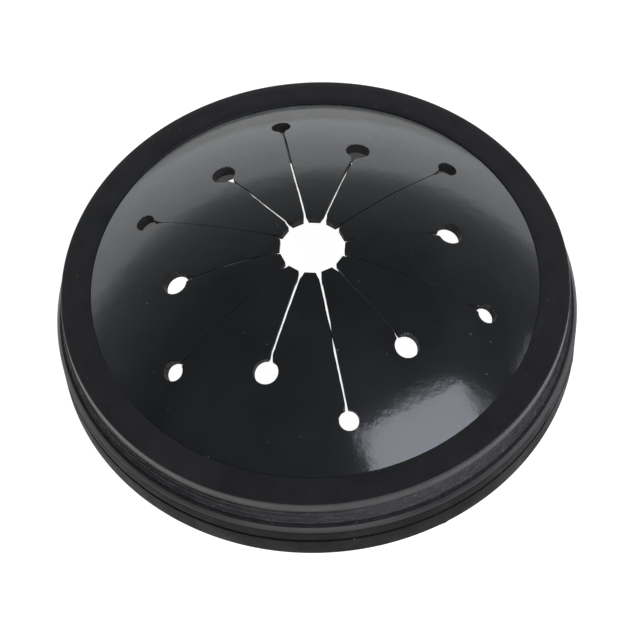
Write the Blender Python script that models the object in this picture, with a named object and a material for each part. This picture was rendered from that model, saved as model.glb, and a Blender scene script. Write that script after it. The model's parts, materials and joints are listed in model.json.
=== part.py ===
"""Rubber splash guard for the throat of a kitchen garbage disposer.

One moulding: a ridged rim ring with a domed membrane across it. Six long slits and six short
ones, each ending in a round relief hole, divide the membrane into six petals that flex at the
outer holes, and each petal into two flaps that flex at its inner hole. Every part of it that
bends on its own is an object here, hinged where the rubber bends.

Metres, +Z up. The origin is on the centre line, in the plane of the bottom face. Long slits lie
at 30, 90, 150 ... degrees and petal n is centred on 60 * (n - 1) degrees, counted from +X.
"""

import math

import bmesh
import bpy
from mathutils import Matrix, Vector

# Driving dimensions: the ring.
OUTER_DIAMETER = 0.080  # over the sealing bead and the foot
HEIGHT_TO_RIM = 0.0124  # bottom face to the flat top of the rim
RIM_STEP = 0.0013  # the rim's lip stands this far inside the bead
RIM_WIDTH = 0.0045  # the flat annulus on top, with its rounded edges
LIP_HEIGHT = 0.0021
RIDGE_COUNT = 3
RIDGE_PITCH = 0.0009
RIDGE_HEIGHT = 0.0004
RIDGE_BAND_TAPER = 0.0007  # the ridged band widens this much from lip to bead
LIP_UNDERCUT = 0.0006
BEAD_HEIGHT = 0.0028
FOOT_GROOVE_WIDTH = 0.0007
FOOT_GROOVE_DEPTH = 0.0006
SKIRT_WALL = 0.0085
EDGE_ROUND = 0.0004
SKIRT_CHAMFER = 0.0006

# Driving dimensions: the membrane.
GUTTER_DEPTH = 0.0005  # the membrane's foot lies this far below the rim's top
DOME_RISE = 0.0094  # flap tips above the rim's top
MEMBRANE_ROOT = 0.0019  # thickness at the ring
MEMBRANE_TIP = 0.0011  # thickness at the centre opening
OPENING_RADIUS = 0.00485  # centre to the straight flap tips
OUTER_HOLE_MARGIN = 0.0069  # rim's inner edge to the outer holes' centres
HOLE_CIRCLE_SPACING = 0.0063  # outer holes' circle to inner holes' circle
OUTER_HOLE_DIAMETER = 0.0030
INNER_HOLE_DIAMETER = 0.0037
SLIT_WIDTH = 0.0005  # beside the holes
PETAL_COUNT = 6

# Clearances.
HINGE_CLEARANCE = 0.0003
KNUCKLE_MARGIN = 0.0002
PASSING_CLEARANCE = 0.0002

# Facets.
RING_SEGMENTS = 60
DOME_STEPS = 8
ROUND_STEPS = 2
KNUCKLE_STEPS = 8
HOLE_SIDES = 20

# Derived sizes.
OUTER_RADIUS = OUTER_DIAMETER / 2
RIM_RADIUS = OUTER_RADIUS - RIM_STEP
RIM_INNER_RADIUS = RIM_RADIUS - RIM_WIDTH
SKIRT_INNER_RADIUS = OUTER_RADIUS - SKIRT_WALL
LIP_BOTTOM = HEIGHT_TO_RIM - LIP_HEIGHT
BEAD_TOP = LIP_BOTTOM - (RIDGE_COUNT + 0.5) * RIDGE_PITCH
BEAD_BOTTOM = BEAD_TOP - BEAD_HEIGHT
OUTER_HOLE_CIRCLE = RIM_INNER_RADIUS - OUTER_HOLE_MARGIN
INNER_HOLE_CIRCLE = OUTER_HOLE_CIRCLE - HOLE_CIRCLE_SPACING
PETAL_HALF = math.pi / PETAL_COUNT
FLAP_HALF = PETAL_HALF / 2
TALL = 10 * HEIGHT_TO_RIM  # cutters reach this far above and below

# The membrane's top is a sphere through its foot at the ring and the flap tips.
DOME_FOOT = HEIGHT_TO_RIM - GUTTER_DEPTH
DOME_TIP = HEIGHT_TO_RIM + DOME_RISE
DOME_CENTRE = (
    (DOME_TIP**2 + OPENING_RADIUS**2) - (DOME_FOOT**2 + RIM_INNER_RADIUS**2)
) / (2 * (DOME_TIP - DOME_FOOT))
DOME_RADIUS = math.hypot(DOME_TIP - DOME_CENTRE, OPENING_RADIUS)


def top_height(radius):
    """Height of the membrane's upper surface at this distance from the centre line."""
    return DOME_CENTRE + math.sqrt(DOME_RADIUS**2 - radius**2)


def thickness_at(radius):
    share = (radius - OPENING_RADIUS) / (RIM_INNER_RADIUS - OPENING_RADIUS)
    return MEMBRANE_TIP + (MEMBRANE_ROOT - MEMBRANE_TIP) * share


def under_height(radius):
    """Height of the lower surface, by thickness along the dome's normal."""
    slope = math.asin(radius / DOME_RADIUS)
    return top_height(radius) - thickness_at(radius) / math.cos(slope)


def hinge_line(distance, half_angle):
    """Height of a straight hinge across the dome and the knuckle radius that covers its edge."""
    highest = top_height(distance)
    lowest = under_height(distance / math.cos(half_angle))
    return (highest + lowest) / 2, (highest - lowest) / 2 + KNUCKLE_MARGIN


# The petals' hinges end inside the outer holes, and the flaps' hinges at the inner holes' circle.
PETAL_KNUCKLE = hinge_line(OUTER_HOLE_CIRCLE * math.cos(PETAL_HALF), PETAL_HALF)[1]
PETAL_HINGE = (
    OUTER_HOLE_CIRCLE + OUTER_HOLE_DIAMETER / 2
) * math.cos(PETAL_HALF) - PETAL_KNUCKLE
PETAL_HINGE_HEIGHT = hinge_line(PETAL_HINGE, PETAL_HALF)[0]
FLAP_HINGE = INNER_HOLE_CIRCLE * math.cos(FLAP_HALF)
FLAP_HINGE_HEIGHT, FLAP_KNUCKLE = hinge_line(FLAP_HINGE, FLAP_HALF)


def passing_width():
    """Slit width at the flap tips that lets rigid neighbours pass through flat together."""
    run = PETAL_HINGE - OPENING_RADIUS
    rise = DOME_TIP - PETAL_HINGE_HEIGHT
    reach = math.hypot(run, rise) - run
    return 2 * reach * math.sin(PETAL_HALF) + PASSING_CLEARANCE


SLIT_MOUTH = max(passing_width(), SLIT_WIDTH)


def clear_scene():
    for obj in list(bpy.data.objects):
        bpy.data.objects.remove(obj)


def rubber(name, colour, roughness):
    material = bpy.data.materials.new(name)
    material.use_nodes = True
    shader = material.node_tree.nodes["Principled BSDF"]
    shader.inputs["Base Color"].default_value = (*colour, 1.0)
    shader.inputs["Roughness"].default_value = roughness
    shader.inputs["Metallic"].default_value = 0.0
    return material


def arc(centre_r, centre_z, radius, start, end, steps=ROUND_STEPS):
    """Points of an arc in the (radius, height) plane, angles in degrees."""
    turns = [math.radians(start + (end - start) * i / steps) for i in range(steps + 1)]
    return [(centre_r + radius * math.cos(a), centre_z + radius * math.sin(a)) for a in turns]


def ridge_outline():
    """The ridged band from the bead up to the undercut below the lip."""
    points = []
    for i in range(RIDGE_COUNT):
        taper = RIDGE_BAND_TAPER * (RIDGE_COUNT - i) / RIDGE_COUNT
        valley = RIM_RADIUS - LIP_UNDERCUT + taper
        height = BEAD_TOP + i * RIDGE_PITCH
        points.append((valley, height + RIDGE_PITCH * 0.1))
        points.append((valley + RIDGE_HEIGHT, height + RIDGE_PITCH * 0.6))
    points.append((RIM_RADIUS - LIP_UNDERCUT, LIP_BOTTOM - RIDGE_PITCH * 0.2))
    return points


def wall_outline():
    """Outside of the ring, from the bottom face up to the gutter inside the rim."""
    foot_top = BEAD_BOTTOM - FOOT_GROOVE_WIDTH
    inside = OUTER_RADIUS - EDGE_ROUND
    points = arc(inside, EDGE_ROUND, EDGE_ROUND, -90, 0)
    points.append((OUTER_RADIUS, foot_top))
    points.append((OUTER_RADIUS - FOOT_GROOVE_DEPTH, (foot_top + BEAD_BOTTOM) / 2))
    points.append((OUTER_RADIUS, BEAD_BOTTOM))
    points += arc(inside, BEAD_TOP - EDGE_ROUND, EDGE_ROUND, 0, 90)
    points += ridge_outline()
    points.append((RIM_RADIUS, LIP_BOTTOM))
    points += arc(RIM_RADIUS - EDGE_ROUND, HEIGHT_TO_RIM - EDGE_ROUND, EDGE_ROUND, 0, 90)
    inner = RIM_INNER_RADIUS + EDGE_ROUND
    points += arc(inner, HEIGHT_TO_RIM - EDGE_ROUND, EDGE_ROUND, 90, 180)
    return points


def radii_between(first, last):
    return [first + (last - first) * i / DOME_STEPS for i in range(DOME_STEPS + 1)]


def ring_outline():
    """Section of the whole moulding from its foot in to inside the petals' hinges."""
    innermost = INNER_HOLE_CIRCLE
    points = [(SKIRT_INNER_RADIUS + SKIRT_CHAMFER, 0.0)]
    points += wall_outline()
    points += [(r, top_height(r)) for r in radii_between(RIM_INNER_RADIUS, innermost)]
    fillet = SKIRT_INNER_RADIUS - 2 * EDGE_ROUND
    points += [(r, under_height(r)) for r in radii_between(innermost, fillet)]
    points.append((SKIRT_INNER_RADIUS, under_height(fillet) - 3 * EDGE_ROUND))
    points.append((SKIRT_INNER_RADIUS, SKIRT_CHAMFER))
    return points


def membrane_outline():
    """Section of the membrane that the petals and flaps are cut from."""
    radii = radii_between(OPENING_RADIUS * 0.8, OUTER_HOLE_CIRCLE + OUTER_HOLE_DIAMETER)
    under = [(r, under_height(r)) for r in radii]
    return under + [(r, top_height(r)) for r in reversed(radii)]


def object_of(name, mesh):
    obj = bpy.data.objects.new(name, mesh)
    bpy.context.scene.collection.objects.link(obj)
    return obj


def revolved(name, outline):
    """A closed ring turned from an outline in the (radius, height) plane."""
    shape = bmesh.new()
    corners = [shape.verts.new((r, 0.0, z)) for r, z in outline]
    edges = [shape.edges.new((a, b)) for a, b in zip(corners, corners[1:] + corners[:1])]
    bmesh.ops.spin(
        shape,
        geom=edges,
        axis=(0, 0, 1),
        cent=(0, 0, 0),
        steps=RING_SEGMENTS,
        angle=2 * math.pi,
        use_merge=True,
    )
    bmesh.ops.remove_doubles(shape, verts=shape.verts, dist=1e-6)
    bmesh.ops.recalc_face_normals(shape, faces=shape.faces)
    mesh = bpy.data.meshes.new(name)
    shape.to_mesh(mesh)
    shape.free()
    return object_of(name, mesh)


def block(name, turn, half_angle, inner, square, hinge, height, knuckle, side):
    """A wedge that reaches from inner out to a hinge, with a round knuckle past the hinge.

    side(x) is how far its walls stand inside the wedge's own edges at distance x, and is
    straight in x so that each wall is flat. From the distance square outwards the walls run
    parallel, so that the knuckle turns without reaching past the wedge's edges.
    """
    arc_points = arc(hinge, height, knuckle, -90, 90, KNUCKLE_STEPS)
    outline = [(inner, -TALL), (square, -TALL), *arc_points, (square, TALL), (inner, TALL)]
    reaches = [min(x, square) for x, _ in outline]
    shape = bmesh.new()
    loops = []
    for sign in (-1, 1):
        width = [sign * (reach * math.tan(half_angle) - side(reach)) for reach in reaches]
        loops.append([shape.verts.new((x, y, z)) for (x, z), y in zip(outline, width)])
    left, right = loops
    for loop in loops:
        shape.faces.new((loop[0], loop[1], loop[-2], loop[-1]))
        shape.faces.new(loop[1:-1])
    count = len(outline)
    for i in range(count):
        after = (i + 1) % count
        shape.faces.new((left[i], right[i], right[after], left[after]))
    bmesh.ops.recalc_face_normals(shape, faces=shape.faces)
    shape.transform(Matrix.Rotation(turn, 4, "Z"))
    mesh = bpy.data.meshes.new(name)
    shape.to_mesh(mesh)
    shape.free()
    return hidden(object_of(name, mesh))


def drill(name, turn, circle, diameter):
    """A cutter for a relief hole, square to the dome."""
    shape = bmesh.new()
    bmesh.ops.create_cone(
        shape,
        cap_ends=True,
        segments=HOLE_SIDES,
        radius1=diameter / 2,
        radius2=diameter / 2,
        depth=6 * MEMBRANE_ROOT,
    )
    lean = Matrix.Rotation(math.asin(circle / DOME_RADIUS), 4, "Y")
    place = Matrix.Translation((circle, 0, top_height(circle)))
    shape.transform(Matrix.Rotation(turn, 4, "Z") @ place @ lean)
    mesh = bpy.data.meshes.new(name)
    shape.to_mesh(mesh)
    shape.free()
    return hidden(object_of(name, mesh))


def hidden(cutter):
    cutter.hide_render = True
    cutter.display_type = "WIRE"
    return cutter


def trimmed(obj, keep=None, cuts=()):
    """The object's mesh after it is limited to one cutter and cut by the others."""
    for operation, cutter in [("INTERSECT", keep), *[("DIFFERENCE", cut) for cut in cuts]]:
        if cutter is None:
            continue
        boolean = obj.modifiers.new(cutter.name, "BOOLEAN")
        boolean.operation = operation
        boolean.object = cutter
    bpy.context.view_layer.update()
    graph = bpy.context.evaluated_depsgraph_get()
    mesh = bpy.data.meshes.new_from_object(obj.evaluated_get(graph))
    obj.modifiers.clear()
    return mesh


def finished(mesh, material):
    mesh.materials.clear()
    mesh.materials.append(material)
    mesh.shade_smooth()
    mesh.set_sharp_from_angle(angle=math.radians(30))
    return mesh


def no_side(_):
    return -HINGE_CLEARANCE


def slit_side(half_angle):
    """Half of a slit's width at distance x: narrow by the holes, wider at the flap tips."""
    outer = OUTER_HOLE_CIRCLE

    def side(x):
        share = (outer - x) / (outer - OPENING_RADIUS)
        width = SLIT_WIDTH + (SLIT_MOUTH - SLIT_WIDTH) * share
        return width / 2 / math.cos(half_angle)

    return side


def seat(name, turn, half_angle, hinge, height, knuckle):
    """A cutter for the hollow that a knuckle turns in, and for all inside it."""
    return block(
        name, turn, half_angle, 0.0, hinge, hinge, height, knuckle + HINGE_CLEARANCE, no_side
    )


def make_ring(material):
    ring = revolved("rim_ring", ring_outline())
    cuts = []
    for n in range(PETAL_COUNT):
        turn = 2 * PETAL_HALF * n
        hinge = (PETAL_HALF, PETAL_HINGE, PETAL_HINGE_HEIGHT, PETAL_KNUCKLE)
        cuts.append(seat(f"petal_seat_{n + 1}", turn, *hinge))
        cuts.append(
            drill(f"outer_hole_{n + 1}", turn + PETAL_HALF, OUTER_HOLE_CIRCLE, OUTER_HOLE_DIAMETER)
        )
    ring.data = finished(trimmed(ring, cuts=cuts), material)


def petal_mesh(membrane, material):
    """The band of a petal between its own hinge and its flaps' hinges, centred on +X."""
    keep = block(
        "petal_block",
        0.0,
        PETAL_HALF,
        0.0,
        PETAL_HINGE,
        PETAL_HINGE,
        PETAL_HINGE_HEIGHT,
        PETAL_KNUCKLE,
        slit_side(PETAL_HALF),
    )
    cuts = [drill("petal_inner_hole", 0.0, INNER_HOLE_CIRCLE, INNER_HOLE_DIAMETER)]
    for sign in (-1, 1):
        turn = sign * FLAP_HALF
        hinge = (FLAP_HALF, FLAP_HINGE, FLAP_HINGE_HEIGHT, FLAP_KNUCKLE)
        cuts.append(seat(f"flap_seat{sign:+d}", turn, *hinge))
        turn = sign * PETAL_HALF
        cuts.append(
            drill(f"petal_outer_hole{sign:+d}", turn, OUTER_HOLE_CIRCLE, OUTER_HOLE_DIAMETER)
        )
    mesh = finished(trimmed(membrane, keep, cuts), material)
    mesh.transform(Matrix.Translation((-PETAL_HINGE, 0, -PETAL_HINGE_HEIGHT)))
    return mesh


def flap_mesh(membrane, sign, material):
    """One of a petal's two flaps, centred on +X and with its origin on its hinge."""
    keep = block(
        f"flap_block{sign:+d}",
        0.0,
        FLAP_HALF,
        OPENING_RADIUS,
        FLAP_HINGE - FLAP_KNUCKLE,
        FLAP_HINGE,
        FLAP_HINGE_HEIGHT,
        FLAP_KNUCKLE,
        slit_side(FLAP_HALF),
    )
    turn = -sign * FLAP_HALF
    hole = drill(f"flap_hole{sign:+d}", turn, INNER_HOLE_CIRCLE, INNER_HOLE_DIAMETER)
    mesh = finished(trimmed(membrane, keep, [hole]), material)
    mesh.transform(Matrix.Translation((-FLAP_HINGE, 0, -FLAP_HINGE_HEIGHT)))
    return mesh


def place_petals(petal, flaps):
    """Six petals round the centre line, each with its two flaps parented to it."""
    petal_origin = Vector((PETAL_HINGE, 0, PETAL_HINGE_HEIGHT))
    for n in range(PETAL_COUNT):
        turn = Matrix.Rotation(2 * PETAL_HALF * n, 4, "Z")
        base = object_of(f"petal_{n + 1}", petal)
        base.location = turn @ petal_origin
        base.rotation_euler.z = 2 * PETAL_HALF * n
        for letter, sign in (("a", -1), ("b", 1)):
            lean = Matrix.Rotation(sign * FLAP_HALF, 4, "Z")
            origin = lean @ Vector((FLAP_HINGE, 0, FLAP_HINGE_HEIGHT))
            flap = object_of(f"flap_{n + 1}{letter}", flaps[sign])
            flap.parent = base
            flap.location = origin - petal_origin
            flap.rotation_euler.z = sign * FLAP_HALF


def main():
    clear_scene()
    satin = rubber("rim_rubber", (0.016, 0.016, 0.017), 0.55)
    gloss = rubber("membrane_rubber", (0.013, 0.014, 0.016), 0.32)
    make_ring(satin)
    membrane = hidden(revolved("membrane_blank", membrane_outline()))
    petal = petal_mesh(membrane, gloss)
    flaps = {sign: flap_mesh(membrane, sign, gloss) for sign in (-1, 1)}
    place_petals(petal, flaps)


main()
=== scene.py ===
# Rubber splash guard for a kitchen disposer: the moulding, its rubber and a small studio around it.
# The moulding is modelled once as a thirty degree slice, parted where the rubber flexes, and copied round.
import json
import math

import bpy
from mathutils import Matrix, Vector, noise

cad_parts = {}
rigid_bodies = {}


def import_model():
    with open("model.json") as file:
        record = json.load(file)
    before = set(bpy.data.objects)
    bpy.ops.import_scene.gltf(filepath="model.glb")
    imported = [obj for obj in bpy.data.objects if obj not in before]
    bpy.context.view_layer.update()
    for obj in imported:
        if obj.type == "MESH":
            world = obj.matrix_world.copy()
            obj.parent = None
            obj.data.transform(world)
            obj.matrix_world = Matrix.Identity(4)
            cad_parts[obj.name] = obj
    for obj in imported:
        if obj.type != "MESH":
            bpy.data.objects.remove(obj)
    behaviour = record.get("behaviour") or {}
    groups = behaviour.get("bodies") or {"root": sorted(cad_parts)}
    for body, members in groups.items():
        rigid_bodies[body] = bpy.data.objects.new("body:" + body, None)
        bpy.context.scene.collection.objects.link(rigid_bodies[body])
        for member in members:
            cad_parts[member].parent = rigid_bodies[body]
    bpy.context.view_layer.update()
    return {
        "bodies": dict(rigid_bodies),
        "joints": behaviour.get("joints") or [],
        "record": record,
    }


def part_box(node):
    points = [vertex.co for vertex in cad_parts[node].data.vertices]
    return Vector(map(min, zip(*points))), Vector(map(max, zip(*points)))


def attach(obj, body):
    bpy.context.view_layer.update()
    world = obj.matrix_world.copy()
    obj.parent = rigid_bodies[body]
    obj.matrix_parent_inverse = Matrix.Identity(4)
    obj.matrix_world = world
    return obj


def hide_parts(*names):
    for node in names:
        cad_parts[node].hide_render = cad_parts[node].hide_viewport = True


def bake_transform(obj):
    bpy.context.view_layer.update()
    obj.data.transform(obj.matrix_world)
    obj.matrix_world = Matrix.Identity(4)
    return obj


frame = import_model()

mm = 0.001
touching = 0.002 * mm  # points closer than this are one point
onPlane = 0.001 * mm
smoothAngle = 38

# Blender's own startup objects go, so that only the moulding and its studio are left.
for name in ("Cube", "Light", "Camera"):
    if name in bpy.data.objects:
        bpy.data.objects.remove(bpy.data.objects[name])


def jointPlace(name):
    return Vector(next(j for j in frame["joints"] if j["name"] == name)["pos_m"])


def mountPlace(name):
    mounts = frame["record"]["mounts"]
    return Vector(next(m for m in mounts if m["name"] == name)["pos_m"])


# Fixed points that everything else hangs on.
ringLow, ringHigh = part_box("rim_ring")
outerRadius = ringHigh.x
rimTop = mountPlace("flange_face").z
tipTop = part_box("flap_1b")[1].z
petalHinge = jointPlace("petal_1_flex")
flapHinge = jointPlace("flap_1b_flex")
petalCount = sum(name.startswith("petal_") for name in frame["bodies"])
petalTurn = 2 * math.pi / petalCount
flapLean = petalTurn / 4

wall = {
    "lipSetback": 1.3 * mm,
    "rimWidth": 4.5 * mm,
    "lipHeight": 2.1 * mm,
    "lipUndercut": 0.6 * mm,
    "lipEdge": 0.25 * mm,
    "lipUnderEdge": 0.15 * mm,
    "lipFace": 1.1 * mm,
    "ridgeCount": 3,
    "ridgePitch": 0.9 * mm,
    "ridgeHeight": 0.4 * mm,
    # across a ridge: share of the pitch, share of the height
    "ridgeProfile": (
        (0.05, 0.0), (0.2, 0.15), (0.38, 0.62), (0.52, 0.95), (0.66, 1.0), (0.78, 0.75), (0.9, 0.2),
    ),
    "bandTaper": 0.7 * mm,
    "beadHeight": 2.8 * mm,
    "beadSlope": (0.5 * mm, 0.72 * mm),
    "beadEdge": 0.12 * mm,
    "grooveWidth": 0.7 * mm,
    "grooveDepth": 0.6 * mm,
    "grooveProfile": (
        (0.0, 0.0), (0.12, 0.3), (0.35, 0.92), (0.5, 1.0), (0.65, 0.92), (0.88, 0.3), (1.0, 0.0),
    ),
    "footEdge": 0.3 * mm,
    "skirtWall": 8.5 * mm,
    "skirtChamfer": 0.6 * mm,
    "gutterDepth": 0.16 * mm,
    "gutterEdge": 0.1 * mm,
    "gutterFillet": 0.05 * mm,
    "underFillet": 1.0 * mm,
    "rimMargin": 1.2 * mm,
    "rimStep": 0.7 * mm,
    "slices": 40,
}

membrane = {
    "rootThickness": 1.9 * mm,
    "tipThickness": 1.1 * mm,
    "openingRadius": 4.85 * mm,
    "outerHoleCircle": 27.3 * mm,
    "innerHoleCircle": 21.0 * mm,
    "outerHole": 3.0 * mm,
    "innerHole": 3.7 * mm,
    "holeSides": 72,
    "slitWidth": 0.36 * mm,
    "mouthWidth": 0.95 * mm,
    "mouthLength": 1.3 * mm,
    "mouthStart": 0.5 * mm,
    "flareWidth": 0.95 * mm,
    "flareLength": 0.8 * mm,
    "flareEnd": 0.1 * mm,
    "cutterHeight": 30 * mm,
    "drillLength": 12 * mm,
    "centreMargin": 0.8 * mm,
    "topStep": 0.42 * mm,
    "underStep": 0.7 * mm,
    "cutEdge": 0.04 * mm,
}

rimRadius = outerRadius - wall["lipSetback"]
rimInner = rimRadius - wall["rimWidth"]
skirtInner = outerRadius - wall["skirtWall"]
domeFoot = rimTop - wall["gutterDepth"]
lipBottom = rimTop - wall["lipHeight"]
beadTop = lipBottom - (wall["ridgeCount"] + 0.5) * wall["ridgePitch"]

# The dome is part of a sphere through its foot at the rim and the flap tips.
opening = membrane["openingRadius"]
domeCentre = (tipTop**2 + opening**2 - domeFoot**2 - rimInner**2) / (2 * (tipTop - domeFoot))
domeRadius = math.hypot(tipTop - domeCentre, opening)


def topHeight(r):
    return domeCentre + math.sqrt(domeRadius**2 - r**2)


def underHeight(r):
    share = (r - opening) / (rimInner - opening)
    thick = membrane["tipThickness"] + (membrane["rootThickness"] - membrane["tipThickness"]) * share
    return topHeight(r) - thick / math.cos(math.asin(r / domeRadius))


def corner(r, z, size, start, end, steps=4):
    turns = [math.radians(start + (end - start) * i / steps) for i in range(steps + 1)]
    return [(r + size * math.cos(a), z + size * math.sin(a)) for a in turns]


def stepsBetween(first, last, step):
    count = max(1, round(abs(last - first) / step))
    return [first + (last - first) * i / count for i in range(count + 1)]


def sectionOutline():
    # once round the section: up the outside, over the rim, in along the dome and back underneath
    w = wall
    beadBottom = beadTop - w["beadHeight"]
    footTop = beadBottom - w["grooveWidth"]
    points = corner(outerRadius - w["footEdge"], w["footEdge"], w["footEdge"], -90, 0)
    for share, depth in w["grooveProfile"]:
        points.append((outerRadius - w["grooveDepth"] * depth, footTop + w["grooveWidth"] * share))
    points.append((outerRadius, (beadTop + beadBottom) / 2))
    # the bead's upper edge is a slope, eased at both ends
    slopeWidth, slopeHeight = w["beadSlope"]
    points.append((outerRadius, beadTop - slopeHeight - w["beadEdge"]))
    points.append((outerRadius - 0.15 * w["beadEdge"], beadTop - slopeHeight))
    points.append((outerRadius - slopeWidth / 2, beadTop - slopeHeight / 2))
    points.append((outerRadius - slopeWidth, beadTop - 0.25 * w["beadEdge"]))
    points.append((outerRadius - slopeWidth - w["beadEdge"], beadTop))
    for i in range(w["ridgeCount"]):
        for share, lift in w["ridgeProfile"]:
            level = (i + share) / w["ridgeCount"]
            valley = rimRadius - w["lipUndercut"] + w["bandTaper"] * (1 - level)
            points.append((valley + w["ridgeHeight"] * lift, beadTop + (i + share) * w["ridgePitch"]))
    points.append((rimRadius - w["lipUndercut"], lipBottom - 0.3 * w["ridgePitch"]))
    points.append((rimRadius - w["lipUndercut"], lipBottom - 0.05 * mm))
    underEdge = w["lipUnderEdge"]
    points += corner(rimRadius - underEdge, lipBottom + underEdge, underEdge, -90, 0, 2)
    points.append((rimRadius, rimTop - w["lipFace"]))
    points += corner(rimRadius - w["lipEdge"], rimTop - w["lipEdge"], w["lipEdge"], 0, 90)
    flat = stepsBetween(rimRadius - w["rimMargin"], rimInner + w["rimMargin"], w["rimStep"])
    points += [(r, rimTop) for r in flat]
    points += corner(rimInner + w["gutterEdge"], rimTop - w["gutterEdge"], w["gutterEdge"], 90, 180)
    points.append((rimInner, domeFoot + w["gutterFillet"]))
    domeEdge = rimInner - w["gutterFillet"]
    centre = opening - membrane["centreMargin"]
    points += [(r, topHeight(r)) for r in stepsBetween(domeEdge, centre, membrane["topStep"])]
    fillet = skirtInner - w["underFillet"]
    points += [(r, underHeight(r)) for r in stepsBetween(centre, fillet, membrane["underStep"])]
    level = underHeight(fillet) - w["underFillet"]
    points += corner(fillet, level, w["underFillet"], 72, 0)
    points.append((skirtInner, w["skirtChamfer"]))
    points.append((skirtInner + w["skirtChamfer"], 0.0))
    return points


def deselectAll():
    if bpy.context.mode != "OBJECT":
        bpy.ops.object.mode_set(mode="OBJECT")
    bpy.ops.object.select_all(action="DESELECT")


def workOn(obj):
    deselectAll()
    obj.select_set(True)
    bpy.context.view_layer.objects.active = obj


def openMesh(obj, select="none"):
    workOn(obj)
    bpy.ops.object.mode_set(mode="EDIT")
    bpy.ops.mesh.select_mode(type="VERT")
    bpy.ops.mesh.select_all(action="SELECT" if select == "all" else "DESELECT")


def closeMesh():
    bpy.ops.object.mode_set(mode="OBJECT")


def pick(obj, mode, wanted):
    # selects the vertices, edges or faces that are wanted, and leaves the mesh open in edit mode
    openMesh(obj)
    bpy.ops.mesh.select_mode(type=mode)
    closeMesh()
    mesh = obj.data
    items = {"VERT": mesh.vertices, "EDGE": mesh.edges, "FACE": mesh.polygons}[mode]
    for item in items:
        if wanted(item):
            item.select = True
    bpy.ops.object.mode_set(mode="EDIT")


def copyOf(obj, name):
    workOn(obj)
    bpy.ops.object.duplicate()
    copy = bpy.context.active_object
    copy.name = name
    copy.data.name = name
    return copy


def settle(obj):
    # puts the object's place and turn into its mesh
    workOn(obj)
    bpy.ops.object.transform_apply(location=True, rotation=True, scale=True)


def weld(obj):
    openMesh(obj, "all")
    bpy.ops.mesh.remove_doubles(threshold=touching)
    bpy.ops.mesh.select_all(action="SELECT")
    bpy.ops.mesh.normals_make_consistent(inside=False)
    closeMesh()


orderSpot = (13 * mm, -57 * mm, 31 * mm)  # off every line of symmetry, so no two points are equally far


def putInOrder(obj):
    # a boolean leaves points and faces in another order each run; sorted, they merge the same way each time
    bpy.context.scene.cursor.location = orderSpot
    openMesh(obj, "all")
    bpy.ops.mesh.sort_elements(type="CURSOR_DISTANCE", elements={"VERT", "EDGE", "FACE"})
    closeMesh()


def spunSlice():
    outline = sectionOutline()
    r, z = outline[0]
    bpy.ops.mesh.primitive_plane_add(size=mm, location=(r, 0, z))
    wedge = bpy.context.active_object
    wedge.name = "mouldingSlice"
    settle(wedge)
    openMesh(wedge, "all")
    bpy.ops.mesh.merge(type="CENTER")
    for (r0, z0), (r1, z1) in zip(outline, outline[1:] + outline[:1]):
        bpy.ops.mesh.extrude_region_move(TRANSFORM_OT_translate={"value": (r1 - r0, 0, z1 - z0)})
    bpy.ops.mesh.select_all(action="SELECT")
    bpy.ops.mesh.remove_doubles(threshold=touching)
    bpy.ops.mesh.select_all(action="SELECT")
    bpy.ops.mesh.edge_face_add()
    bpy.ops.mesh.spin(steps=wall["slices"], angle=petalTurn / 2, center=(0, 0, 0), axis=(0, 0, 1))
    closeMesh()
    if max(v.co.y for v in wedge.data.vertices) < mm:
        wedge.scale.y = -1
        settle(wedge)
    weld(wedge)
    return wedge


def slitCutter(name, turn, holeCircle, holeSize):
    m = membrane
    inner = opening - m["mouthLength"] * 0.3
    outer = holeCircle
    bpy.ops.mesh.primitive_cube_add(
        size=1, location=((inner + outer) / 2, 0, tipTop),
        scale=(outer - inner, m["mouthWidth"], m["cutterHeight"]),
    )
    cutter = bpy.context.active_object
    cutter.name = name
    settle(cutter)
    edge = holeCircle - holeSize / 2
    stations = (
        (opening + m["mouthStart"], 0.8 * m["mouthWidth"]),
        (opening + m["mouthLength"], m["slitWidth"]),
        (edge - m["flareLength"], m["slitWidth"]),
        (edge + m["flareEnd"], m["flareWidth"]),
    )
    for x, _ in stations:
        openMesh(cutter, "all")
        bpy.ops.mesh.bisect(plane_co=(x, 0, 0), plane_no=(1, 0, 0), threshold=onPlane)
        closeMesh()
    for x, width in stations + ((outer, m["flareWidth"]),):
        pick(cutter, "VERT", lambda v: abs(v.co.x - x) < 0.01 * mm)
        bpy.ops.transform.resize(value=(1, width / m["mouthWidth"], 1), center_override=(x, 0, tipTop))
        closeMesh()
    cutter.rotation_euler.z = turn
    settle(cutter)
    return cutter


def holeCutter(name, turn, circle, size):
    lean = math.asin(circle / domeRadius)
    place = Matrix.Rotation(turn, 3, "Z") @ Vector((circle, 0, topHeight(circle)))
    bpy.ops.mesh.primitive_cylinder_add(
        vertices=membrane["holeSides"], radius=size / 2, depth=membrane["drillLength"], location=place
    )
    cutter = bpy.context.active_object
    cutter.name = name
    cutter.rotation_euler = (Matrix.Rotation(turn, 3, "Z") @ Matrix.Rotation(lean, 3, "Y")).to_euler()
    settle(cutter)
    return cutter


def cutAway(obj, cutter):
    workOn(obj)
    boolean = obj.modifiers.new(cutter.name, "BOOLEAN")
    boolean.operation = "DIFFERENCE"
    boolean.solver = "EXACT"
    boolean.object = cutter
    bpy.ops.object.modifier_apply(modifier=boolean.name)
    bpy.data.objects.remove(cutter)
    putInOrder(obj)


def keepSide(obj, distance, turn, inside):
    # halves the mesh at an upright plane, at this distance from the centre line along this direction
    openMesh(obj, "all")
    away = (math.cos(turn), math.sin(turn), 0)
    bpy.ops.mesh.bisect(
        plane_co=(away[0] * distance, away[1] * distance, 0), plane_no=away,
        use_fill=True, clear_outer=inside, clear_inner=not inside, threshold=onPlane,
    )
    closeMesh()


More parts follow.
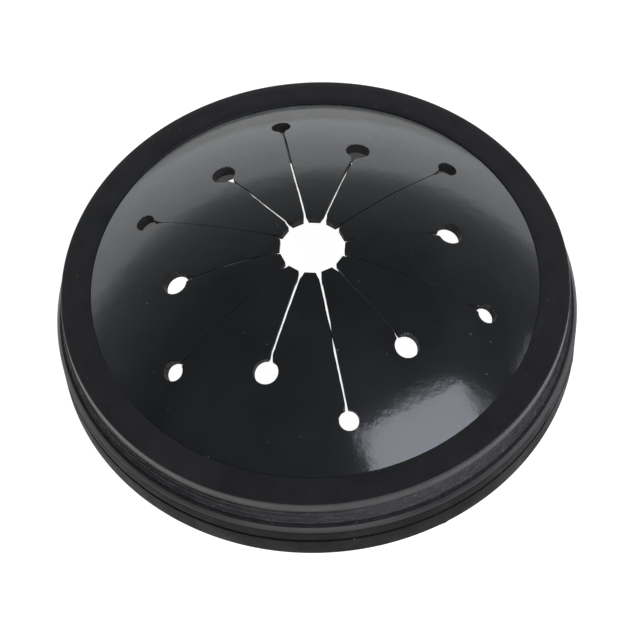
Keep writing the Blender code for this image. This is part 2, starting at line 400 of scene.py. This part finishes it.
def dropCap(obj, turn):
    # the flat face left on the slice's side, which a neighbour will be joined to
    side = Vector((-math.sin(turn), math.cos(turn), 0))
    mesh = obj.data
    pick(obj, "FACE", lambda f: all(abs(mesh.vertices[i].co.dot(side)) < touching for i in f.vertices))
    bpy.ops.mesh.delete(type="FACE")
    closeMesh()


def splitManySided(obj):
    # faces with more than four corners, which could otherwise be split differently each run
    openMesh(obj)
    bpy.ops.mesh.select_mode(type="FACE")
    bpy.ops.mesh.select_face_by_sides(number=4, type="GREATER", extend=False)
    bpy.ops.mesh.quads_convert_to_tris(quad_method="BEAUTY", ngon_method="BEAUTY")
    closeMesh()


sharpAngle = 50  # cut edges at least this sharp are eased


def easeCutEdges(obj):
    # the sharp edges that slits, holes and tips leave in the dome's upper face
    mesh = obj.data
    sides = {}
    for face in mesh.polygons:
        for key in face.edge_keys:
            sides.setdefault(key, []).append(face.normal.copy())
    seam = Vector((-math.sin(petalTurn / 2), math.cos(petalTurn / 2), 0))

    def onCut(edge):
        a, b = (mesh.vertices[i].co for i in edge.vertices)
        normals = sides.get(edge.key, [])
        if len(normals) != 2 or normals[0].angle(normals[1], 0) < math.radians(sharpAngle):
            return False
        radius = math.hypot(*((a + b) / 2).xy)
        if radius > rimInner - 3 * mm:
            return False
        for end in (a, b):
            level = math.hypot(end.xy.length, end.z - domeCentre)
            if abs(level - domeRadius) > 0.02 * mm:
                return False
        onStart = all(abs(p.y) < touching for p in (a, b))
        onEnd = all(abs(p.dot(seam)) < touching for p in (a, b))
        return not (onStart or onEnd)

    pick(obj, "EDGE", onCut)
    bpy.ops.mesh.bevel(offset=membrane["cutEdge"], segments=2, profile=0.5, clamp_overlap=True)
    closeMesh()


def mirrored(obj, name):
    other = copyOf(obj, name)
    other.scale.y = -1
    settle(other)
    weld(other)
    return other


def joined(objects, name):
    deselectAll()
    for obj in objects:
        obj.select_set(True)
    bpy.context.view_layer.objects.active = objects[0]
    bpy.ops.object.join()
    whole = bpy.context.active_object
    whole.name = name
    whole.data.name = name
    weld(whole)
    return whole


def turnedCopy(obj, name, turn):
    copy = copyOf(obj, name)
    copy.rotation_euler.z = turn
    settle(copy)
    return copy


parting = {
    "petalLine": petalHinge.x + 1.85 * mm,
    "flapLine": flapHinge.xy.length + 1.36 * mm,
    "petalBend": (1.8 * mm, -0.9 * mm),
    "flapBend": (1.3 * mm, -1.1 * mm),
}

# How the knife cuts stand. Each slit, by its direction in degrees, is open by a share of its full width.
# Some pinch together or gape at a place along them: place, reach, share taken off.
slitHabits = {
    "open": {
        0: 0.1, 30: 0.3, 60: 1.0, 90: 0.95, 120: 0.95, 150: 0.1,
        180: 0.35, 210: 0.12, 240: 1.15, 270: 1.0, 300: 0.3, 330: 0.1,
    },
    # millimetres the underside of a cut stands aside for each millimetre of depth
    "leans": {60: 0.12, 120: -0.34, 180: -0.25, 240: -0.12, 300: 0.3},
    "pinches": {
        270: ((14.6 * mm, 1.5 * mm, 0.97),),
        210: ((14.0 * mm, 3.0 * mm, -0.9),),
        180: ((8.0 * mm, 3.0 * mm, -0.9),),
        120: ((17.5 * mm, 3.2 * mm, 0.5), (12.6 * mm, 0.4 * mm, 0.5)),
    },
    "wander": 0.16 * mm,
    "wanderLength": 5 * mm,
    "ragged": 0.05 * mm,
    "raggedLength": 0.9 * mm,
    "mouthSteps": 0.2 * mm,
    "mouthReach": (0.5 * mm, 2.0 * mm),
    "holeReach": (1.8 * mm, 0.4 * mm),  # the cut runs true again this far before its hole
}


def smooth(low, high, x):
    t = min(max((x - low) / (high - low), 0.0), 1.0)
    return t * t * (3 - 2 * t)


def unevenTurn(x, y, z):
    # how far a point beside a slit is turned about the centre line, because the cut isn't straight or upright
    radius = math.hypot(x, y)
    if radius > membrane["outerHoleCircle"]:
        return 0.0
    angle = math.atan2(y, x)
    slit = round(angle / (petalTurn / 2))
    offset = radius * math.sin(angle - slit * petalTurn / 2)
    half = radius * math.sin(petalTurn / 4)
    which = "outer" if slit % 2 else "inner"  # a long slit ends in an outer hole, a short one in an inner
    end = membrane[which + "HoleCircle"] - membrane[which + "Hole"] / 2
    first, last = slitHabits["holeReach"]
    near = max(0.0, 1 - abs(offset) / half) ** 2 * (1 - smooth(end - first, end - last, radius))
    if near == 0.0:
        return 0.0
    side = 1 if offset > 0 else -1
    seed = slit % (2 * petalCount)
    turnDegrees = seed * 30
    wide = slitHabits["open"][turnDegrees]
    for place, reach, taken in slitHabits["pinches"].get(turnDegrees, ()):
        wide *= 1 - taken * math.exp(-(((radius - place) / reach) ** 2))
    first, last = slitHabits["mouthReach"]
    pastMouth = smooth(opening + first, opening + last, radius)
    # the odd factors only keep the noise of one slit apart from the next
    along = radius / slitHabits["wanderLength"]
    wander = noise.noise(Vector((along, seed * 3.7, 0.5))) * slitHabits["wander"]
    along = radius / slitHabits["raggedLength"]
    ragged = noise.noise(Vector((along, seed * 5.3, side * 2.1))) * slitHabits["ragged"]
    step = noise.noise(Vector((seed * 9.1, side * 4.3, 1.7))) * slitHabits["mouthSteps"]
    gape = ragged * wide + (wide - 1) * membrane["slitWidth"] / 2 * pastMouth + step * (1 - pastMouth)
    depth = domeRadius - math.hypot(radius, z - domeCentre)
    lean = slitHabits["leans"].get(turnDegrees, 0.0) * depth
    return ((wander + lean) * pastMouth + side * gape) * near / radius


# The moulded band outside is scaly and the foot carries a few nibs of flash where the mould parted.
mouldMarks = {
    "scales": 0.10 * mm,
    "scaleLength": 0.9 * mm,
    "scaleHeight": 0.32 * mm,
    "scaleFade": 0.3 * mm,
    "scaleDepth": 1.2 * mm,
    # direction in degrees, height, size
    "nibs": (
        (-73, 0.4 * mm, 0.16 * mm),
        (-41, 4.4 * mm, 0.14 * mm),
        (-22, 0.5 * mm, 0.12 * mm),
        (118, 0.5 * mm, 0.15 * mm),
    ),
    "nibWidth": 0.35 * mm,
    "nibDepth": 0.9 * mm,
}


def outwardShift(x, y, z):
    # how far a point of the ring's outer wall stands out from its true place
    radius = math.hypot(x, y)
    angle = math.atan2(y, x)
    shift = 0.0
    reach = mouldMarks["scaleFade"]
    if radius > rimRadius - mouldMarks["scaleDepth"] and beadTop - 0.1 * mm < z < lipBottom:
        place = Vector((x, y, 0)) / mouldMarks["scaleLength"]
        place.z = z / mouldMarks["scaleHeight"]
        fade = smooth(beadTop, beadTop + reach, z) * (1 - smooth(lipBottom - reach, lipBottom, z))
        shift += noise.noise(place) * mouldMarks["scales"] * fade
    if radius > outerRadius - mouldMarks["nibDepth"]:
        for direction, height, size in mouldMarks["nibs"]:
            along = (angle - math.radians(direction)) * outerRadius / mouldMarks["nibWidth"]
            up = (z - height) / mouldMarks["nibWidth"]
            shift += size * math.exp(-(along**2) - up**2)
    return shift


def makeUneven(obj):
    for vertex in obj.data.vertices:
        x, y, z = vertex.co
        turn = unevenTurn(x, y, z)
        grow = 1 + outwardShift(x, y, z) / max(math.hypot(x, y), mm)
        c, s = math.cos(turn) * grow, math.sin(turn) * grow
        vertex.co = (x * c - y * s, x * s + y * c, z)


def smoothShade(obj):
    workOn(obj)
    bpy.ops.object.shade_smooth_by_angle(angle=math.radians(smoothAngle))


print("moulding: spinning the slice")
wedge = spunSlice()
cutAway(wedge, slitCutter("shortSlit", 0, membrane["innerHoleCircle"], membrane["innerHole"]))
cutAway(wedge, slitCutter("longSlit", petalTurn / 2, membrane["outerHoleCircle"], membrane["outerHole"]))
cutAway(wedge, holeCutter("innerHole", 0, membrane["innerHoleCircle"], membrane["innerHole"]))
cutAway(wedge, holeCutter("outerHole", petalTurn / 2, membrane["outerHoleCircle"], membrane["outerHole"]))
keepSide(wedge, opening, flapLean, inside=False)
easeCutEdges(wedge)
putInOrder(wedge)
weld(wedge)

print("moulding: parting it where the rubber flexes")
ringSlice = copyOf(wedge, "ringSlice")
keepSide(ringSlice, parting["petalLine"], 0, inside=False)
dropCap(ringSlice, 0)
dropCap(ringSlice, petalTurn / 2)
petalSlice = copyOf(wedge, "petalSlice")
keepSide(petalSlice, parting["petalLine"], 0, inside=True)
keepSide(petalSlice, parting["flapLine"], flapLean, inside=False)
dropCap(petalSlice, 0)
flapSlices = {"b": copyOf(wedge, "flapSliceB")}
keepSide(flapSlices["b"], parting["flapLine"], flapLean, inside=True)
splitManySided(flapSlices["b"])
flapSlices["a"] = mirrored(flapSlices["b"], "flapSliceA")
bpy.data.objects.remove(wedge)

petalWhole = joined([petalSlice, mirrored(petalSlice, "petalHalf")], "petalWhole")
ringSector = joined([ringSlice, mirrored(ringSlice, "ringHalf")], "ringSector")
sectors = [turnedCopy(ringSector, f"sector{n}", n * petalTurn) for n in range(1, petalCount)]
ring = joined([ringSector] + sectors, "ringMoulding")

print("moulding: laying out petals and flaps")
petals = {}
flaps = {}
for n in range(petalCount):
    petals[n + 1] = turnedCopy(petalWhole, f"petalRubber_{n + 1}", n * petalTurn)
    for letter, part in flapSlices.items():
        flaps[f"{n + 1}{letter}"] = turnedCopy(part, f"flapRubber_{n + 1}{letter}", n * petalTurn)
for spent in (petalWhole, *flapSlices.values()):
    bpy.data.objects.remove(spent)
for piece in (ring, *petals.values(), *flaps.values()):
    makeUneven(piece)
    smoothShade(piece)


def rubber(name, look):
    # moulded rubber: uneven black, a dusty bloom, specks of lint, fine grain and rubbed patches
    material = bpy.data.materials.new(name)
    material.use_nodes = True
    nodes, links = material.node_tree.nodes, material.node_tree.links
    shader = nodes["Principled BSDF"]
    place = nodes.new("ShaderNodeTexCoord")

    def pattern(scale, detail=4.0, roughness=0.55, distortion=0.0, stretch=(1, 1, 1)):
        mapping = nodes.new("ShaderNodeMapping")
        mapping.inputs["Scale"].default_value = stretch
        links.new(place.outputs["Object"], mapping.inputs["Vector"])
        texture = nodes.new("ShaderNodeTexNoise")
        texture.inputs["Scale"].default_value = scale
        texture.inputs["Detail"].default_value = detail
        texture.inputs["Roughness"].default_value = roughness
        texture.inputs["Distortion"].default_value = distortion
        links.new(mapping.outputs["Vector"], texture.inputs["Vector"])
        return texture.outputs["Fac"]

    def ranged(value, low, high, to0, to1):
        node = nodes.new("ShaderNodeMapRange")
        node.inputs["From Min"].default_value = low
        node.inputs["From Max"].default_value = high
        node.inputs["To Min"].default_value = to0
        node.inputs["To Max"].default_value = to1
        links.new(value, node.inputs["Value"])
        return node.outputs["Result"]

    def added(a, b):
        node = nodes.new("ShaderNodeMath")
        node.operation = "ADD"
        links.new(a, node.inputs[0])
        links.new(b, node.inputs[1])
        return node.outputs[0]

    def mixed(share, a, b):
        node = nodes.new("ShaderNodeMix")
        node.data_type = "RGBA"
        links.new(share, node.inputs["Factor"])
        for socket, value in (("A", a), ("B", b)):
            target = [i for i in node.inputs if i.name == socket and i.type == "RGBA"][0]
            if isinstance(value, tuple):
                target.default_value = (*value, 1)
            else:
                links.new(value, target)
        return [o for o in node.outputs if o.type == "RGBA"][0]

    cloudy = pattern(look["cloudScale"], detail=5)
    bloom = ranged(cloudy, 0.35, 0.75, 0.0, 1.0)
    body = mixed(bloom, look["black"], look["bloom"])
    specks = pattern(look["speckScale"], detail=1)
    lint = ranged(specks, look["speckFrom"], look["speckFrom"] + 0.05, 0.0, 1.0)
    links.new(mixed(lint, body, look["speck"]), shader.inputs["Base Color"])

    patches = pattern(look["rubScale"], detail=6, roughness=0.65, distortion=0.6, stretch=look["rubStretch"])
    rubbed = ranged(patches, 0.3, 0.7, look["shine"], look["dull"])
    fine = ranged(pattern(look["grainScale"], detail=2), 0.3, 0.7, -look["roughGrain"], look["roughGrain"])
    links.new(added(rubbed, fine), shader.inputs["Roughness"])

    heights = added(
        ranged(pattern(look["grainScale"], detail=3), 0.0, 1.0, 0.0, look["grainHeight"]),
        ranged(pattern(look["rippleScale"], detail=3), 0.0, 1.0, 0.0, look["rippleHeight"]),
    )
    bump = nodes.new("ShaderNodeBump")
    bump.inputs["Strength"].default_value = 1.0
    bump.inputs["Distance"].default_value = 1.0
    links.new(heights, bump.inputs["Height"])
    links.new(bump.outputs["Normal"], shader.inputs["Normal"])
    links.new(bump.outputs["Normal"], shader.inputs["Coat Normal"])
    shader.inputs["Specular IOR Level"].default_value = look["specular"]
    shader.inputs["Coat Weight"].default_value = look["coat"]
    shader.inputs["Coat Roughness"].default_value = look["coatRoughness"]
    return material


rimLook = {
    "black": (0.0135, 0.0135, 0.0140),
    "bloom": (0.0195, 0.0195, 0.0205),
    "cloudScale": 120,
    "speck": (0.10, 0.10, 0.105),
    "speckScale": 2600,
    "speckFrom": 0.76,
    "rubScale": 260,
    "rubStretch": (1, 1, 1),
    "shine": 0.30,
    "dull": 0.44,
    "grainScale": 5200,
    "roughGrain": 0.05,
    "grainHeight": 0.010 * mm,
    "rippleScale": 700,
    "rippleHeight": 0.012 * mm,
    "specular": 0.36,
    "coat": 0.0,
    "coatRoughness": 0.3,
}

# the scaly band of fine ridges below the lip
bandLook = {
    **rimLook,
    "black": (0.013, 0.013, 0.0145),
    "bloom": (0.024, 0.024, 0.027),
    "cloudScale": 420,
    "speck": (0.09, 0.09, 0.10),
    "speckFrom": 0.70,
    "shine": 0.36,
    "dull": 0.62,
    "grainScale": 3000,
    "grainHeight": 0.05 * mm,
    "rippleScale": 1300,
    "rippleHeight": 0.07 * mm,
    "specular": 0.26,
}

# bead, foot and skirt, rubbed dull by handling; their darker black is painted shade near the floor
shadedFootLook = {
    **rimLook,
    "black": (0.0055, 0.0055, 0.0060),
    "bloom": (0.010, 0.010, 0.011),
    "shine": 0.38,
    "dull": 0.66,
    "rubScale": 140,
    "specular": 0.04,
}

domeLook = {
    "black": (0.0070, 0.0078, 0.0086),
    "bloom": (0.0125, 0.0138, 0.0152),
    "cloudScale": 90,
    "speck": (0.11, 0.11, 0.12),
    "speckScale": 1700,
    "speckFrom": 0.775,
    "rubScale": 210,
    "rubStretch": (1, 1, 1),
    "shine": 0.40,
    "dull": 0.60,
    "grainScale": 4200,
    "roughGrain": 0.03,
    "grainHeight": 0.0025 * mm,
    "rippleScale": 520,
    "rippleHeight": 0.022 * mm,
    "specular": 0.08,
    "coat": 0.9,
    "coatRoughness": 0.11,
}

# faces left by the knife and the hole punches
cutLook = {
    **rimLook,
    "black": (0.008, 0.008, 0.0085),
    "bloom": (0.013, 0.013, 0.014),
    "shine": 0.5,
    "dull": 0.75,
    "rubScale": 900,
    "rubStretch": (1, 1, 0.15),
    "specular": 0.22,
}

print("rubber: satin, scaly and dull for the ring, gloss for the dome, bare for the cuts")
finishes = [
    rubber("satinRubber", rimLook),
    rubber("glossRubber", domeLook),
    rubber("scalyRubber", bandLook),
    # the bead, foot and skirt finish: its darker black is painted shade near the floor
    rubber("dullRubber", shadedFootLook),
    rubber("cutRubber", cutLook),
]
satin, gloss, scaly, dull, cut = range(len(finishes))


edgeReach = 0.02 * mm  # a finish starts and ends this close to its edge


def finishOf(face):
    # which finish a face has, by where it is on the moulding
    radius, z = face.center.xy.length, face.center.z
    if radius < rimInner - edgeReach:
        level = math.hypot(radius, z - domeCentre)
        if abs(level - domeRadius) < membrane["cutEdge"] + edgeReach:
            return gloss
        outward = Vector((face.center.x, face.center.y, z - domeCentre)).normalized()
        cutReach = membrane["outerHoleCircle"] + membrane["outerHole"]
        if radius < cutReach and abs(face.normal.dot(outward)) < 0.5:
            return cut
        return satin
    if beadTop + edgeReach < z < lipBottom - edgeReach and radius > skirtInner + mm:
        return scaly
    # the bead's upper slope keeps the satin finish; below it the dull finish carries painted shade near the
    # floor
    onSlope = z > beadTop - wall["beadSlope"][1] - edgeReach and radius > rimRadius
    return satin if z >= lipBottom - edgeReach or onSlope else dull


for piece in (ring, *petals.values(), *flaps.values()):
    piece.data.materials.clear()
    for finish in finishes:
        piece.data.materials.append(finish)
    for face in piece.data.polygons:
        face.material_index = finishOf(face)

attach(ring, "rim_ring")
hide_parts("rim_ring")
for n in range(petalCount):
    petal = petals[n + 1]
    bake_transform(petal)
    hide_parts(f"petal_{n + 1}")
    for letter, side in (("a", -1), ("b", 1)):
        flap = flaps[f"{n + 1}{letter}"]
        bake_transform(flap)
        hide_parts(f"flap_{n + 1}{letter}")

studio = {
    "floorSize": 3.0,
    "floorColour": (0.3, 0.3, 0.3),
    "floorGlow": 0.985,
    # brightness of the white tent, from its lower edge to its top; it leans, so the far side is brighter
    "tent": ((0.0, 1.9), (0.05, 0.95), (0.15, 0.42), (0.52, 0.08)),
    "tentAxis": (0.03, -0.42, 0.91),
    "tentTint": (0.96, 0.985, 1.0),
    "lights": {
        # name: way to it from the part, distance, width, height, tilt, power, colour
        "window": ((0.430, -0.505, 0.749), 0.75, 0.47, 0.37, -20, 2.6, (0.86, 0.89, 1.0)),
        "windowGlow": ((0.470, -0.480, 0.740), 0.75, 0.56, 0.44, -20, 0.95, (0.86, 0.89, 1.0)),
        "sideStrip": ((0.856, -0.01, 0.51), 0.75, 0.15, 0.036, -30, 0.042, (0.86, 0.89, 1.0)),
        "rightPanel": ((0.93, -0.36, 0.08), 1.2, 0.8, 0.25, 0, 2.4, (0.93, 0.95, 1.0)),
        "frontPanel": ((-0.20, -0.92, 0.34), 1.6, 1.6, 0.9, 0, 14.0, (1.0, 0.99, 0.97)),
    },
}

view = {
    "lens": 129.0,
    "aim": (-0.00056, -0.00715, 0.0124),
    "distance": 0.3443,
    "turn": -7.70,
    "height": 56.92,
    "roll": -3.87,
}

print("studio: floor, lights and camera")
deselectAll()
bpy.ops.mesh.primitive_plane_add(size=studio["floorSize"], location=(0, 0, ringLow.z))
floor = bpy.context.active_object
floor.name = "paleFloor"
paper = bpy.data.materials.new("palePaper")
paper.use_nodes = True
paperShader = paper.node_tree.nodes["Principled BSDF"]
paperShader.inputs["Base Color"].default_value = (*studio["floorColour"], 1)
paperShader.inputs["Roughness"].default_value = 0.9
paperShader.inputs["Specular IOR Level"].default_value = 0.1
paperShader.inputs["Emission Color"].default_value = (1, 1, 1, 1)
paperShader.inputs["Emission Strength"].default_value = studio["floorGlow"]
floor.data.materials.append(paper)

world = bpy.context.scene.world or bpy.data.worlds.new("studioAir")
bpy.context.scene.world = world
world.use_nodes = True
tent = world.node_tree.nodes
air = tent["Background"]
air.inputs["Color"].default_value = (*studio["tentTint"], 1)
direction = tent.new("ShaderNodeTexCoord")
along = tent.new("ShaderNodeVectorMath")
along.operation = "DOT_PRODUCT"
along.inputs[1].default_value = studio["tentAxis"]
fade = tent.new("ShaderNodeValToRGB")
world.node_tree.links.new(direction.outputs["Generated"], along.inputs[0])
world.node_tree.links.new(along.outputs["Value"], fade.inputs["Fac"])
world.node_tree.links.new(fade.outputs["Color"], air.inputs["Strength"])
while len(fade.color_ramp.elements) < len(studio["tent"]):
    fade.color_ramp.elements.new(0.5)
for stop, (level, glow) in zip(fade.color_ramp.elements, studio["tent"]):
    stop.position = level
    stop.color = (glow, glow, glow, 1)

for name, (way, distance, width, height, tilt, power, colour) in studio["lights"].items():
    way = Vector(way).normalized()
    lamp = bpy.data.lights.new(name, "AREA")
    lamp.shape = "ELLIPSE" if name == "windowGlow" else "RECTANGLE"
    lamp.size = width
    lamp.size_y = height
    lamp.energy = power
    lamp.color = colour
    holder = bpy.data.objects.new(name, lamp)
    bpy.context.scene.collection.objects.link(holder)
    holder.location = way * distance
    facing = way.to_track_quat("Z", "Y").to_matrix() @ Matrix.Rotation(math.radians(tilt), 3, "Z")
    holder.rotation_euler = facing.to_euler()

turn, height, roll = (math.radians(view[part]) for part in ("turn", "height", "roll"))
away = Vector((math.sin(turn) * math.cos(height), -math.cos(turn) * math.cos(height), math.sin(height)))
camera = bpy.data.objects.new("studioCamera", bpy.data.cameras.new("studioCamera"))
bpy.context.scene.collection.objects.link(camera)
camera.data.lens = view["lens"]
camera.data.clip_start = 0.01
camera.location = Vector(view["aim"]) + away * view["distance"]
aimed = Matrix.Rotation(turn, 3, "Z") @ Matrix.Rotation(math.pi / 2 - height, 3, "X")
camera.rotation_euler = (aimed @ Matrix.Rotation(roll, 3, "Z")).to_euler()
bpy.context.scene.camera = camera
bpy.context.scene.view_settings.view_transform = "Standard"
